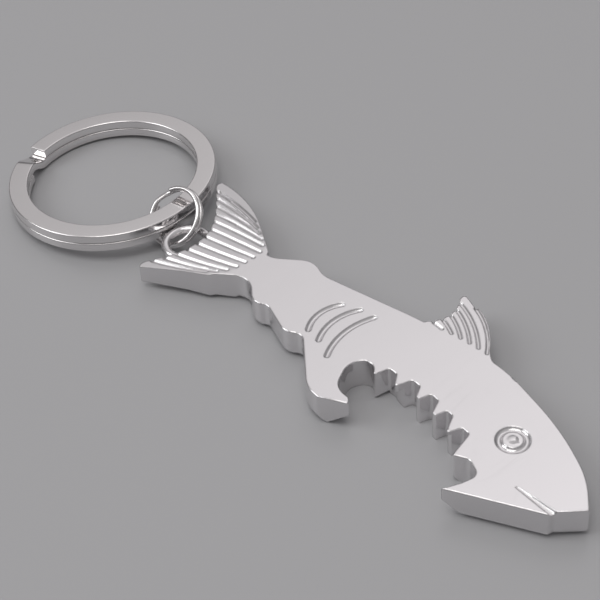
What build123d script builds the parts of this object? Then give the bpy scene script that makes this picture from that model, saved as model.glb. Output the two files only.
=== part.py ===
from build123d import *

import os
from math import atan, cos, radians, sin

# Souvenir bottle opener: a shark cast as one flat plate, hung on a key ring.
# Millimetres. The origin is the middle of the flat underside of the body,
# +X runs from the tail to the nose, +Y is the back with the dorsal fin, and
# the toothed mouth that takes the bottle cap opens towards -Y. +Z is up.

# ---- body casting ----
plate_thickness = 4.8
underside_round = 1.3        # rounding round the foot of the plate
top_round = 0.2              # small rounding round the top face
through = 6 * plate_thickness

# ---- hook and lip that grip the cap ----
hook_tip = (25.5, -9.8)
hook_heading = 233           # the way the hook points, in degrees from +X
lip_tip = (6.3, -7.95)
lip_heading = -10
relief_height = 2.4          # the underside is bevelled up to here at both tips
relief_angle = 42

# ---- tail fin and its cast eyelet ----
tail_root_x = -24.2          # the fin thins from here to its tips
tail_tip_x = -42.0
tail_root_foot = 0.5
tail_tip_top = 3.6
tail_tip_foot = 1.6
tail_rays = 13
scallop_bulge = 0.25
eyelet_centre = (-35.1, -0.75)
eyelet_radius = 3.25         # to the middle of its round section
eyelet_section = 0.68
eyelet_height = 2.7

# ---- dorsal fin ----
dorsal_foot = 1.8            # the fin is thinner than the plate
dorsal_rays = 6
dorsal_notch = (6.15, 16.75)  # in the leading edge, below the first ray

# ---- grooves in the faces: radius of the cutter and how far it stands off ----
ray_groove = (0.36, 0.10)
dorsal_groove = (0.30, 0.08)
gill_groove = (0.46, 0.14)
eye_centre = (26.15, 2.25)
eye_groove_radius = 1.85
eye_groove_section = 0.54
eye_groove_lift = 0.18
pupil_radius = 0.95
pupil_height = 0.22
slit_start = (31.7, -3.3)
slit_length = 7.0
slit_small_radius = 0.2
slit_large_radius = 0.62

# ---- small link ring: two close turns of round wire ----
link_radius = 4.36           # to the middle of the wire
link_wire = 0.36             # radius of the wire
link_turn_gap = 0.04
link_centre = (-40.12, 1.25, 3.68)
link_normal = (-0.019, -0.672, 0.740)
link_step_angle = 250
link_step_span = 40

# ---- key ring: flat wire in two turns ----
key_outer_radius = 16.0
key_band_width = 2.9
key_turn_height = 1.4
key_turn_gap = 0.05
key_corner = 0.22            # rounded corners of the flat wire
key_centre = (-55.2, 1.24, 2.57)
key_tilt = 3.9               # the side by the tail rides up on the link ring
key_step_angle = 205         # where the wire steps from one turn to the next
key_step_span = 15
end_gap = 1.5                # degrees left free at each cut end


def prism(outline, foot, height):
    """A closed outline raised from foot by height."""
    return extrude(Pos(0, 0, foot) * outline, amount=height)


def rounded_outline(corners):
    """A closed outline of straight runs joined by tangent arcs."""
    points = [corner for corner, _ in corners]
    radii = [radius for _, radius in corners]
    return make_face(FilletPolyline(*points, radius=radii, close=True))


def level_edges(solid, height):
    """The edges that lie flat at one height."""
    return [
        edge
        for edge in solid.edges()
        if max(abs((edge @ t).Z - height) for t in (0, 0.5, 1)) < 1e-4
    ]


def bowed(start, end, bulge):
    """An arc from start to end that bows to the right of its way by bulge."""
    along = (end - start).normalized()
    return ThreePointArc(start, (start + end) * 0.5 + Vector(along.Y, -along.X) * bulge, end)


def scallops(base, count, bulge):
    """Small outward arcs between points spaced evenly along a base curve."""
    return [bowed(base @ (i / count), base @ ((i + 1) / count), bulge) for i in range(count)]


def groove(path, radius):
    """A round cutter along a path in the XY plane, with a ball at each end."""
    section = Plane(origin=path @ 0, z_dir=path % 0) * Circle(radius)
    return [sweep(section, path=path), Pos(path @ 0) * Sphere(radius), Pos(path @ 1) * Sphere(radius)]


def two_turn_ring(section, radius, pitch, step_angle, step_span):
    """A split ring: two flat turns of a section, joined by a short step."""
    def section_at(angle, height):
        return Rot(0, 0, angle) * Pos(radius, 0, height) * Rot(90, 0, 0) * section

    sweep_angle = 360 - step_span - end_gap
    low = -pitch / 2
    steps = 8
    ring = revolve(section_at(step_span / 2 + end_gap, low), Axis.Z, sweep_angle)
    ring += loft([
        section_at(step_span * (t - 0.5), low + pitch * t * t * (3 - 2 * t))
        for t in [i / steps for i in range(steps + 1)]
    ])
    ring += revolve(section_at(step_span / 2, -low), Axis.Z, sweep_angle)
    return Rot(0, 0, step_angle) * ring


def tip_relief(tip, heading):
    """A block whose upper face rises past a tip and bevels its underside."""
    block = Box(20, 16, 10, align=(Align.CENTER, Align.CENTER, Align.MAX))
    return Pos(*tip, relief_height) * Rot(0, 0, heading) * Rot(0, -relief_angle, 0) * block


# ---- trunk, each corner with the radius of its arc ----
trunk = prism(
    rounded_outline([
        ((-27.6, 5.6), 2.2), ((-22.6, 4.0), 3.0), ((-17.3, 8.1), 3.2), ((-14.0, 6.9), 4.0),
        ((3.5, 10.2), 60.0), ((17.0, 11.0), 25.0), ((29.5, 7.95), 45.0), ((37.3, 3.9), 16.0),
        ((40.8, 0.1), 0.3), ((37.8, -3.1), 0.5), ((37.6, -3.9), 0.3),
        ((24.6, -10.3), 6.0), ((14.0, -10.9), 20.0), ((3.0, -10.0), 10.0),
        ((0.1, -9.75), 5.0), ((-7.6, -3.2), 1.5), ((-9.7, -4.7), 2.4), ((-15.3, -2.7), 1.5),
        ((-17.3, -3.85), 2.2), ((-20.9, -0.9), 3.0), ((-23.6, -1.9), 1.0), ((-27.6, -2.2), 2.2),
    ]),
    0,
    plate_thickness,
)
trunk = fillet(level_edges(trunk, 0), underside_round)

# ---- mouth: pocket, five notches between six teeth, and the hook's recess ----
mouth = rounded_outline([
    ((0.0, -11.2), 0), ((6.5, -7.95), 0.35), ((5.6, -7.15), 0.4), ((2.9, -7.0), 2.8),
    ((1.0, -2.9), 2.6), ((2.9, 0.3), 1.5), ((5.0, -2.0), 0.3),
    ((5.75, 0.35), 0.45), ((7.1, 0.3), 0.5), ((8.5, -1.6), 0.3),
    ((9.5, 0.95), 0.5), ((10.9, 0.85), 0.5), ((12.25, -1.6), 0.3),
    ((13.1, 0.85), 0.5), ((14.5, 0.6), 0.5), ((15.8, -2.5), 0.3),
    ((16.6, 0.15), 0.45), ((17.7, -0.05), 0.5), ((19.1, -2.9), 0.3),
    ((20.1, -0.7), 0.5), ((21.4, -0.85), 0.5), ((22.3, -5.0), 0.3),
    ((24.4, -4.0), 1.2), ((27.0, -5.2), 1.2), ((26.3, -7.6), 1.6), ((24.6, -11.2), 0),
    ((24.6, -15.0), 0), ((0.0, -15.0), 0),
])
trunk -= prism(mouth, -through / 2, through)
trunk = fillet(level_edges(trunk, plate_thickness), top_round)
trunk -= tip_relief(hook_tip, hook_heading)
trunk -= tip_relief(lip_tip, lip_heading)

# ---- tail fin: scalloped behind, thinner towards its tips ----
tail_upper = Line((-23.4, 4.85), (-29.0, 8.2))
tail_crown = TangentArc((-29.0, 8.2), (-41.1, 11.35), tangent=(-5.6, 3.35))
tail_base = Spline(
    (-41.3, 10.6), (-37.7, 7.5), (-35.3, 5.1), (-33.6, 2.8), (-32.7, 0.0),
    (-32.8, -2.6), (-33.7, -5.4), (-34.8, -7.4), (-35.6, -9.2),
)
tail_lower = Polyline(
    (-35.6, -9.2), (-35.3, -9.65), (-29.3, -5.95), (-26.2, -4.4), (-25.7, -3.6),
    (-23.4, -1.95), (-21.5, 1.5), (-23.4, 4.85),
)
tail_outline = make_face(
    [tail_upper, tail_crown, Line(tail_crown @ 1, tail_base @ 0)]
    + scallops(tail_base, tail_rays, scallop_bulge)
    + [tail_lower]
)
tail_side = Polyline(
    (-15.0, tail_root_foot), (-15.0, plate_thickness), (tail_root_x, plate_thickness),
    (tail_tip_x, tail_tip_top), (tail_tip_x, tail_tip_foot), (tail_root_x, tail_root_foot),
    close=True,
)
tail_wedge = extrude(make_face(Plane.XZ * tail_side), amount=20, both=True)
tail = prism(tail_outline, -1, 8) & tail_wedge
tail_clear = Polyline(
    (tail_root_x, plate_thickness), (tail_root_x, 8), (tail_tip_x, 8), (tail_tip_x, tail_tip_top),
    close=True,
)
trunk -= extrude(make_face(Plane.XZ * tail_clear), amount=20, both=True)
eyelet = Pos(*eyelet_centre, eyelet_height) * Torus(eyelet_radius, eyelet_section)

# ---- dorsal fin ----
dorsal_front = Spline((16.8, 10.4), (14.2, 11.15), (11.6, 13.8), (9.0, 15.95), (6.6, 17.0))
dorsal_tip = ThreePointArc((3.8, 17.55), (3.4, 17.5), (3.25, 17.15))
dorsal_base = Spline((3.25, 17.15), (4.1, 15.9), (4.7, 14.1), (4.65, 12.5), (3.95, 10.9), (2.9, 9.8))
dorsal_outline = make_face(
    [dorsal_front, Polyline((6.6, 17.0), dorsal_notch, (3.8, 17.55)), dorsal_tip]
    + scallops(dorsal_base, dorsal_rays, scallop_bulge)
    + [Polyline((2.9, 9.8), (3.4, 8.0), (16.0, 8.0), (16.8, 10.4))]
)
dorsal = prism(dorsal_outline, dorsal_foot, plate_thickness - dorsal_foot)

body = trunk + tail + dorsal + eyelet

# ---- ray grooves, from the notches between the scallops to the fin's root ----
tail_slope = atan((plate_thickness - tail_tip_top) / (tail_root_x - tail_tip_x))
tail_face = Plane(
    origin=(tail_root_x, 0, plate_thickness),
    x_dir=(cos(tail_slope), 0, sin(tail_slope)),
    z_dir=(-sin(tail_slope), 0, cos(tail_slope)),
)
tail_roots = Spline(
    (-30.8, 8.6), (-27.0, 6.5), (-24.4, 4.3), (-24.2, 1.5), (-24.6, -1.0), (-25.6, -2.6),
    (-27.6, -4.4),
)
ray_radius, ray_lift = ray_groove
cutters = []
for i in range(1, tail_rays):
    root = tail_roots @ ((i - 0.5) / (tail_rays - 1)) - Vector(tail_root_x, 0)
    notch = tail_base @ (i / tail_rays) - Vector(tail_root_x, 0)
    bow = 0.03 * (notch - root).length * cos(radians(180 * i / tail_rays))
    path = Pos(0, 0, ray_lift) * bowed(root, notch, bow)
    cutters += [tail_face.location * piece for piece in groove(path, ray_radius)]

dorsal_radius, dorsal_lift = dorsal_groove
for i in range(dorsal_rays):
    notch = dorsal_base @ (i / dorsal_rays) if i else Vector(*dorsal_notch)
    root = Vector(13.2 - 1.53 * i, 11.4 - 0.03 * i * i)
    bow = -0.08 * (1 - i / dorsal_rays) * (root - notch).length
    path = Pos(0, 0, plate_thickness + dorsal_lift) * bowed(notch, root, bow)
    cutters += groove(path, dorsal_radius)

# ---- gill marks, eye and the slit of the closed mouth ----
gill_radius, gill_lift = gill_groove
for start, middle, end in [
    ((-7.8, 4.5), (-8.8, 1.3), (-7.6, -2.1)),
    ((-5.2, 5.5), (-6.3, 1.5), (-5.1, -2.5)),
    ((-2.7, 5.8), (-3.6, 1.2), (-2.1, -3.8)),
]:
    path = Pos(0, 0, plate_thickness + gill_lift) * ThreePointArc(start, middle, end)
    cutters += groove(path, gill_radius)
eye_place = Pos(*eye_centre, plate_thickness)
cutters.append(eye_place * Pos(0, 0, eye_groove_lift) * Torus(eye_groove_radius, eye_groove_section))
cutters.append(
    Pos(*slit_start, plate_thickness + slit_small_radius / 2)
    * Rot(0, 90, 0)
    * Cone(
        slit_small_radius,
        slit_large_radius,
        slit_length,
        align=(Align.CENTER, Align.CENTER, Align.MIN),
    )
)
for cutter in cutters:
    body -= cutter
pupil_curve = (pupil_radius**2 + pupil_height**2) / (2 * pupil_height)
pupil = eye_place * Pos(0, 0, pupil_height - pupil_curve) * Sphere(pupil_curve)
body += pupil & (eye_place * Cylinder(pupil_radius, 1))

# ---- rings, as the opener lies on a table ----
link_ring = Plane(origin=link_centre, z_dir=link_normal) * two_turn_ring(
    Circle(link_wire), link_radius, 2 * link_wire + link_turn_gap, link_step_angle, link_step_span
)
key_ring = Pos(*key_centre) * Rot(0, -key_tilt, 0) * two_turn_ring(
    RectangleRounded(key_band_width, key_turn_height, key_corner),
    key_outer_radius - key_band_width / 2,
    key_turn_height + key_turn_gap,
    key_step_angle,
    key_step_span,
)

os.makedirs("parts", exist_ok=True)
for name, piece in [("opener_body", body), ("link_ring", link_ring), ("key_ring", key_ring)]:
    export_step(piece, f"parts/{name}.step")
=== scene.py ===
from math import cos, pi, radians, sin

import bmesh
import bpy
from mathutils import Matrix, Vector


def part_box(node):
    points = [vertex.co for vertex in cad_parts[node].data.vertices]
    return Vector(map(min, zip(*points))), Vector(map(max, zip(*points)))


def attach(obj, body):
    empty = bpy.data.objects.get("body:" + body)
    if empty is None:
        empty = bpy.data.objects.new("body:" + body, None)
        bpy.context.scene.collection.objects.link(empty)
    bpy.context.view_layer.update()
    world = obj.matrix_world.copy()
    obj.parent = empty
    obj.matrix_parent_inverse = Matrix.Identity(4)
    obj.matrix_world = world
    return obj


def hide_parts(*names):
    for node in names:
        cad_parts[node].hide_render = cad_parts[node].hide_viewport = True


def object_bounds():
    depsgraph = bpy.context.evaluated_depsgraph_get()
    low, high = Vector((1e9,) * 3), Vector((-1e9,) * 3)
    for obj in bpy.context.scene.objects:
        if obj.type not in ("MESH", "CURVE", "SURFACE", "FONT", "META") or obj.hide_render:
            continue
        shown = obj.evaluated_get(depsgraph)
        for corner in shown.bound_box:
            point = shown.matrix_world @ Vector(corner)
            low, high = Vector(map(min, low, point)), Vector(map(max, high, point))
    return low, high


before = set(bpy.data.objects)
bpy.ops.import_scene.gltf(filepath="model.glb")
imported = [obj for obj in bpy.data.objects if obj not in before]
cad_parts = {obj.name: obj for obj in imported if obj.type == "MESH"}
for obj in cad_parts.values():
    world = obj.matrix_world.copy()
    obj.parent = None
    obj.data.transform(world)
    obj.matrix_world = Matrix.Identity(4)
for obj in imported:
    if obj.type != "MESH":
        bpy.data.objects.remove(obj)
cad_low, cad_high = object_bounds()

# Shark-shaped bottle opener on a key ring. Metres, +X from the tail to the
# nose, +Y to the dorsal fin, +Z out of the face with the eye and the gills.
# Three pieces: the plated casting, the small link ring and the flat key ring.

mm = 0.001

# ---- casting ----
weld = 0.001 * mm             # corners closer than this are one corner
crease = radians(32)          # edges that turn more than this stay crisp
flatness = radians(0.1)       # faces that turn less than this are one flat face

# ---- plating: sizes across the metal, and depths ----
wear_patch = 2.2 * mm         # patches of worn edge
recess_reach = 0.9 * mm       # how far round a point cover is looked for
haze_size = 9 * mm
wave_size = 11 * mm
mark_size = 0.5 * mm
mark_depth = 0.0004 * mm
scratch_depth = 0.0012 * mm
scratch_share = 0.03          # width of a scratch as a share of their spacing

# ---- link ring: two close turns of round wire ----
link_radius = 4.36 * mm       # to the middle of the wire
link_wire = 0.36 * mm         # radius of the wire
link_pitch = 0.76 * mm        # from one turn to the next
link_lean = Vector((-0.019, -0.672, 0.740)).normalized()   # the ring's own axis
link_step_angle = radians(250)
link_step_span = radians(40)
link_sides = 28               # round the wire
link_turn_parts = 110         # along each flat turn
link_end_round = 0.07 * mm

# ---- key ring: flat wire in two turns ----
key_radius = 14.55 * mm       # to the middle of the band
key_band = (2.9 * mm, 1.4 * mm)
key_corner = 0.22 * mm
key_pitch = 1.45 * mm
key_tilt = radians(3.9)       # the side by the tail rides up on the link ring
key_step_angle = radians(205)
key_step_span = radians(15)
key_corner_parts = 4
key_turn_parts = 170
key_end_round = 0.12 * mm

# ---- both rings ----
step_parts = 16               # along the slope between the turns
end_gap = radians(1.5)        # free angle in front of each cut end

# ---- view: from in front of the nose, looking down along the body ----
view_azimuth = radians(50.1)
view_elevation = radians(43.5)
view_roll = radians(-4.5)
view_distance = 258.7 * mm
view_aim = Vector((-1.29, 2.93, -3.62)) * mm   # from the middle of the whole opener
view_lens = 108

# ---- floor and surroundings ----
floor_half = 4.0
floor_tone = (0.44, 0.44, 0.45, 1)
floor_roughness = 0.35
floor_gloss = 0.4
horizon_tone = (0.11, 0.11, 0.114, 1)
overhead_tone = (0.50, 0.488, 0.492, 1)


# ---------------------------------------------------------------- materials

def add(tree, kind, place=None, **settings):
    """A shader node with some of its own settings, and values for its sockets."""
    made = tree.nodes.new(kind)
    for key, value in (place or {}).items():
        made.inputs[key].default_value = value
    for key, value in settings.items():
        setattr(made, key, value)
    return made


def remap(tree, source, low, high, to_low, to_high):
    """Source from low to high becomes to_low to to_high, and is held outside."""
    made = add(tree, "ShaderNodeMapRange", {
        "From Min": low, "From Max": high, "To Min": to_low, "To Max": to_high,
    })
    tree.links.new(source, made.inputs["Value"])
    return made.outputs["Result"]


def combine(tree, operation, first, second):
    """A sum, product or the like of two values, each a socket or a number."""
    made = add(tree, "ShaderNodeMath", operation=operation)
    for socket, value in zip(made.inputs, (first, second)):
        if isinstance(value, (int, float)):
            socket.default_value = value
        else:
            tree.links.new(value, socket)
    return made.outputs["Value"]


def hairlines(tree, coords, turn, length, spacing, share):
    """Long thin polishing scratches in one direction, 1 on a line and 0 off it."""
    turned = add(tree, "ShaderNodeMapping", {
        "Rotation": (0, 0, turn), "Scale": (1 / spacing, 1 / length, 1 / spacing),
    })
    tree.links.new(coords, turned.inputs["Vector"])
    cells = add(tree, "ShaderNodeTexVoronoi", {"Scale": 1.0}, feature="DISTANCE_TO_EDGE")
    tree.links.new(turned.outputs["Vector"], cells.inputs["Vector"])
    broken = add(tree, "ShaderNodeTexNoise", {"Scale": 0.9, "Detail": 1.0})
    tree.links.new(turned.outputs["Vector"], broken.inputs["Vector"])
    line = remap(tree, cells.outputs["Distance"], 0.0, share, 1.0, 0.0)
    kept = remap(tree, broken.outputs["Fac"], 0.5, 0.6, 0.0, 1.0)
    return combine(tree, "MULTIPLY", line, kept)


def waves(tree, coords, size, detail):
    """Soft noise whose features are about one size across."""
    made = add(tree, "ShaderNodeTexNoise", {"Scale": 1 / size, "Detail": detail})
    tree.links.new(coords, made.inputs["Vector"])
    return made.outputs["Fac"]


def raise_by(tree, height, distance, normal):
    """A bump of a height field on top of an earlier normal."""
    made = add(tree, "ShaderNodeBump", {"Distance": distance, "Strength": 1.0})
    tree.links.new(height, made.inputs["Height"])
    tree.links.new(normal, made.inputs["Normal"])
    return made.outputs["Normal"]


def plated_metal(name, bright, worn, painted_recess_shade, edge_radius, waviness, roughness, scratches):
    """Plated metal: softened edges, faint waves, haze, hairline scratches, rougher recesses, painted
    shade in recesses.
    """
    material = bpy.data.materials.new(name)
    material.use_nodes = True
    tree = material.node_tree
    shader = tree.nodes["Principled BSDF"]
    shader.inputs["Metallic"].default_value = 1.0
    coords = add(tree, "ShaderNodeTexCoord").outputs["Object"]

    soft = add(tree, "ShaderNodeBevel", {"Radius": edge_radius}, samples=6).outputs["Normal"]
    flat = add(tree, "ShaderNodeNewGeometry").outputs["Normal"]
    facing = add(tree, "ShaderNodeVectorMath", operation="DOT_PRODUCT")
    tree.links.new(soft, facing.inputs[0])
    tree.links.new(flat, facing.inputs[1])
    edge = remap(tree, facing.outputs["Value"], 0.98, 0.8, 0.0, 1.0)
    patches = waves(tree, coords, wear_patch, 3.0)
    edge = combine(tree, "MULTIPLY", edge, remap(tree, patches, 0.42, 0.62, 0.15, 1.0))

    # Ambient occlusion finds the recesses: there the metal is rougher, and its colour is painted
    # darker as shade.
    cover = add(tree, "ShaderNodeAmbientOcclusion", {"Distance": recess_reach}, samples=6)
    recess_rough_and_shade = remap(tree, cover.outputs["AO"], 0.25, 0.7, 1.0, 0.0)

    haze = waves(tree, coords, haze_size, 5.0)
    marks = waves(tree, coords, mark_size, 2.0)
    lines = None
    for turn, length, spacing in scratches:
        layer = hairlines(tree, coords, radians(turn), length, spacing, scratch_share)
        lines = layer if lines is None else combine(tree, "MAXIMUM", lines, layer)

    low, high = roughness
    rough = remap(tree, haze, 0.35, 0.7, low, high)
    rough = combine(tree, "ADD", rough, combine(tree, "MULTIPLY", marks, 0.02))
    rough = combine(tree, "ADD", rough, combine(tree, "MULTIPLY", lines, 0.10))
    rough = combine(tree, "ADD", rough, combine(tree, "MULTIPLY", edge, 0.05))
    rough = combine(tree, "ADD", rough, combine(tree, "MULTIPLY", recess_rough_and_shade, 0.16))
    tree.links.new(rough, shader.inputs["Roughness"])

    colour = None
    # Edges take the worn tone; recesses take a darker tone as painted shade.
    for share, tone in ((edge, worn), (recess_rough_and_shade, painted_recess_shade)):
        mixer = add(tree, "ShaderNodeMix", data_type="RGBA")
        sockets = [socket for socket in mixer.inputs if socket.type == "RGBA"]
        sockets[0].default_value = (*bright, 1)
        sockets[1].default_value = (*tone, 1)
        tree.links.new(share, mixer.inputs["Factor"])
        if colour is not None:
            tree.links.new(colour, sockets[0])
        colour = next(socket for socket in mixer.outputs if socket.type == "RGBA")
    tree.links.new(colour, shader.inputs["Base Color"])

    normal = raise_by(tree, waves(tree, coords, wave_size, 1.0), waviness, soft)
    normal = raise_by(tree, marks, mark_depth, normal)
    normal = raise_by(tree, lines, -scratch_depth, normal)
    tree.links.new(normal, shader.inputs["Normal"])
    return material


# Each finish below has a darker tone painted into its recesses as shade.
cast_chrome = plated_metal(
    "cast_chrome",
    bright=(0.80, 0.785, 0.795), worn=(0.88, 0.87, 0.87), painted_recess_shade=(0.70, 0.69, 0.70),
    edge_radius=0.30 * mm, waviness=0.03 * mm, roughness=(0.07, 0.15),
    scratches=((12, 26 * mm, 1.3 * mm), (71, 17 * mm, 1.9 * mm), (-38, 21 * mm, 2.6 * mm)),
)
wire_chrome = plated_metal(
    "wire_chrome",
    bright=(0.82, 0.80, 0.80), worn=(0.90, 0.88, 0.86), painted_recess_shade=(0.62, 0.60, 0.59),
    edge_radius=0.10 * mm, waviness=0.012 * mm, roughness=(0.08, 0.17),
    scratches=((35, 9 * mm, 0.8 * mm), (-52, 7 * mm, 1.1 * mm)),
)


# ------------------------------------------------------------------- pieces

def new_piece(name, bm, material):
    """A piece whose place is in its mesh."""
    mesh = bpy.data.meshes.new(name)
    bm.to_mesh(mesh)
    bm.free()
    for layer in [a.name for a in mesh.attributes if a.name == "custom_normal"]:
        mesh.attributes.remove(mesh.attributes[layer])
    mesh.materials.clear()
    mesh.materials.append(material)
    piece = bpy.data.objects.new(name, mesh)
    bpy.context.scene.collection.objects.link(piece)
    weighted = piece.modifiers.new("even_shading", "WEIGHTED_NORMAL")
    weighted.mode = "FACE_AREA"
    weighted.keep_sharp = True
    return piece


def shade(bm):
    """Smooth faces that meet crisply wherever they turn more than the crease angle."""
    for face in bm.faces:
        face.smooth = True
        face.material_index = 0
    for edge in bm.edges:
        edge.smooth = edge.is_manifold and edge.calc_face_angle() < crease


def shark():
    """The casting, with its corners welded."""
    bm = bmesh.new()
    bm.from_mesh(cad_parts["opener_body"].data)
    bmesh.ops.remove_doubles(bm, verts=bm.verts, dist=weld)
    bmesh.ops.dissolve_degenerate(bm, edges=bm.edges, dist=weld)
    bmesh.ops.dissolve_limit(bm, angle_limit=flatness, verts=bm.verts, edges=bm.edges)
    shade(bm)
    return new_piece("shark_casting", bm, cast_chrome)


def split_ring(bm, radius, pitch, step_angle, step_span, turn_steps, end_round):
    """Carries the wire's end face round two flat turns, with a sloping step between them."""
    start = bm.faces[0]
    place = Matrix.Rotation(step_angle + step_span / 2 + end_gap, 4, "Z")
    place @= Matrix.Translation((radius, 0, -pitch / 2)) @ Matrix.Rotation(radians(90), 4, "X")
    bmesh.ops.transform(bm, matrix=place, verts=bm.verts)
    flat_turn = radians(360) - step_span - end_gap
    slope = [t * t * (3 - 2 * t) for t in [i / step_parts for i in range(step_parts + 1)]]
    stretches = [(flat_turn, 0, turn_steps)]
    stretches += [
        (step_span / step_parts, pitch * (after - before), 1)
        for before, after in zip(slope, slope[1:])
    ]
    stretches += [(flat_turn, 0, turn_steps)]
    end = list(start.edges)
    for angle, lift, steps in stretches:
        spun = bmesh.ops.spin(
            bm, geom=end, cent=(0, 0, 0), axis=(0, 0, 1), dvec=(0, 0, lift / steps),
            angle=angle, steps=steps, use_merge=False, use_duplicate=False,
        )
        end = [part for part in spun["geom_last"] if isinstance(part, bmesh.types.BMEdge)]
    cap = bmesh.ops.edgeloop_fill(bm, edges=end)["faces"][0]
    bmesh.ops.recalc_face_normals(bm, faces=bm.faces)
    rims = list(start.edges) + list(cap.edges)
    bmesh.ops.bevel(
        bm, geom=rims, offset=end_round, segments=2, profile=0.5, affect="EDGES", material=-1
    )
    shade(bm)


def middle(node):
    """The centre of a node's box."""
    low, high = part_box(node)
    return (low + high) / 2


def link_ring():
    """Two turns of round wire, leaning on the key ring and through the cast eyelet."""
    bm = bmesh.new()
    bmesh.ops.create_circle(bm, cap_ends=True, segments=link_sides, radius=link_wire)
    bm.faces.ensure_lookup_table()
    split_ring(
        bm, link_radius, link_pitch, link_step_angle, link_step_span, link_turn_parts,
        link_end_round,
    )
    across = Vector((0, -link_lean.z, link_lean.y)).normalized()
    turn = Matrix((across, link_lean.cross(across), link_lean)).transposed().to_4x4()
    place = Matrix.Translation(middle("link_ring")) @ turn
    bmesh.ops.transform(bm, matrix=place, verts=bm.verts)
    return new_piece("round_link", bm, wire_chrome)


def key_ring():
    """Two turns of flat wire with rounded corners."""
    bm = bmesh.new()
    width, height = key_band
    bmesh.ops.create_grid(
        bm, x_segments=1, y_segments=1, size=0.5, matrix=Matrix.Diagonal((width, height, 1, 1))
    )
    bmesh.ops.bevel(
        bm, geom=list(bm.verts), offset=key_corner, segments=key_corner_parts, profile=0.5,
        affect="VERTICES", material=-1,
    )
    bm.faces.ensure_lookup_table()
    split_ring(
        bm, key_radius, key_pitch, key_step_angle, key_step_span, key_turn_parts, key_end_round
    )
    place = Matrix.Translation(middle("key_ring")) @ Matrix.Rotation(-key_tilt, 4, "Y")
    bmesh.ops.transform(bm, matrix=place, verts=bm.verts)
    return new_piece("flat_key_ring", bm, wire_chrome)


for piece, node, body, finish in [
    (shark(), "opener_body", "opener", "cast_chrome"),
    (link_ring(), "link_ring", "link", "wire_chrome"),
    (key_ring(), "key_ring", "keys", "wire_chrome"),
]:
    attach(piece, body)
    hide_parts(node)


# ------------------------------------------------- floor, light and camera

def floor():
    """A plain pale floor with a faint gloss."""
    bm = bmesh.new()
    bmesh.ops.create_grid(bm, x_segments=1, y_segments=1, size=floor_half)
    mesh = bpy.data.meshes.new("floor")
    bm.to_mesh(mesh)
    bm.free()
    material = bpy.data.materials.new("pale_floor")
    material.use_nodes = True
    shader = material.node_tree.nodes["Principled BSDF"]
    shader.inputs["Base Color"].default_value = floor_tone
    shader.inputs["Roughness"].default_value = floor_roughness
    shader.inputs["Specular IOR Level"].default_value = floor_gloss
    mesh.materials.append(material)
    made = bpy.data.objects.new("floor", mesh)
    bpy.context.scene.collection.objects.link(made)


def direction(azimuth, elevation):
    """The way from the opener to a place round it; azimuth 0 is the side towards -Y."""
    return Vector((
        sin(azimuth) * cos(elevation), -cos(azimuth) * cos(elevation), sin(elevation)
    ))


def softbox(name, azimuth, elevation, distance, size, brightness, tint, fall=0.0):
    """A square soft light that faces the opener, dimmer by fall towards one lower corner."""
    light = bpy.data.lights.new(name, "AREA")
    light.size = size
    light.energy = brightness * pi * size * size
    light.color = tint
    light.use_nodes = True
    tree = light.node_tree
    across = add(tree, "ShaderNodeSeparateXYZ")
    tree.links.new(add(tree, "ShaderNodeNewGeometry").outputs["Parametric"], across.inputs["Vector"])
    slant = combine(tree, "SUBTRACT", across.outputs["Y"], across.outputs["X"])
    strength = remap(tree, slant, -0.6, 0.6, 1.0 - fall, 1.0 + fall)
    tree.links.new(strength, tree.nodes["Emission"].inputs["Strength"])
    made = bpy.data.objects.new(name, light)
    way = direction(radians(azimuth), radians(elevation))
    made.location = (cad_low + cad_high) / 2 + way * distance
    made.rotation_euler = way.to_track_quat("Z", "Y").to_euler()
    bpy.context.scene.collection.objects.link(made)


def surroundings():
    """A studio that is brighter overhead and dim near the horizon."""
    world = bpy.data.worlds.new("studio")
    bpy.context.scene.world = world
    world.use_nodes = True
    tree = world.node_tree
    coords = add(tree, "ShaderNodeTexCoord").outputs["Generated"]
    parts = add(tree, "ShaderNodeSeparateXYZ")
    tree.links.new(coords, parts.inputs["Vector"])
    height = remap(tree, parts.outputs["Z"], 0.0, 0.9, 0.0, 1.0)
    ramp = add(tree, "ShaderNodeValToRGB")
    ramp.color_ramp.elements[0].color = horizon_tone
    ramp.color_ramp.elements[1].color = overhead_tone
    tree.links.new(height, ramp.inputs["Fac"])
    tree.links.new(ramp.outputs["Color"], tree.nodes["Background"].inputs["Color"])


def camera():
    """From in front of the nose, with the horizon a little off level."""
    data = bpy.data.cameras.new("camera")
    data.lens = view_lens
    data.clip_start = 0.01
    made = bpy.data.objects.new("camera", data)
    aim = (cad_low + cad_high) / 2 + view_aim
    way = direction(view_azimuth, view_elevation)
    made.location = aim + way * view_distance
    level = way.to_track_quat("Z", "Y")
    made.rotation_euler = (level.to_matrix() @ Matrix.Rotation(view_roll, 3, "Z")).to_euler()
    bpy.context.scene.collection.objects.link(made)
    bpy.context.scene.camera = made


floor()
surroundings()
softbox("back_softbox", 230, 44, 0.75, 0.64, 0.36, (1.0, 0.97, 0.985), fall=0.60)
softbox("left_softbox", 320, 40, 0.9, 0.52, 2.2, (0.98, 0.99, 1.0))
softbox("top_softbox", 20, 78, 0.8, 0.46, 1.9, (1.0, 0.99, 0.97))
camera()
bpy.context.scene.view_settings.view_transform = "Standard"
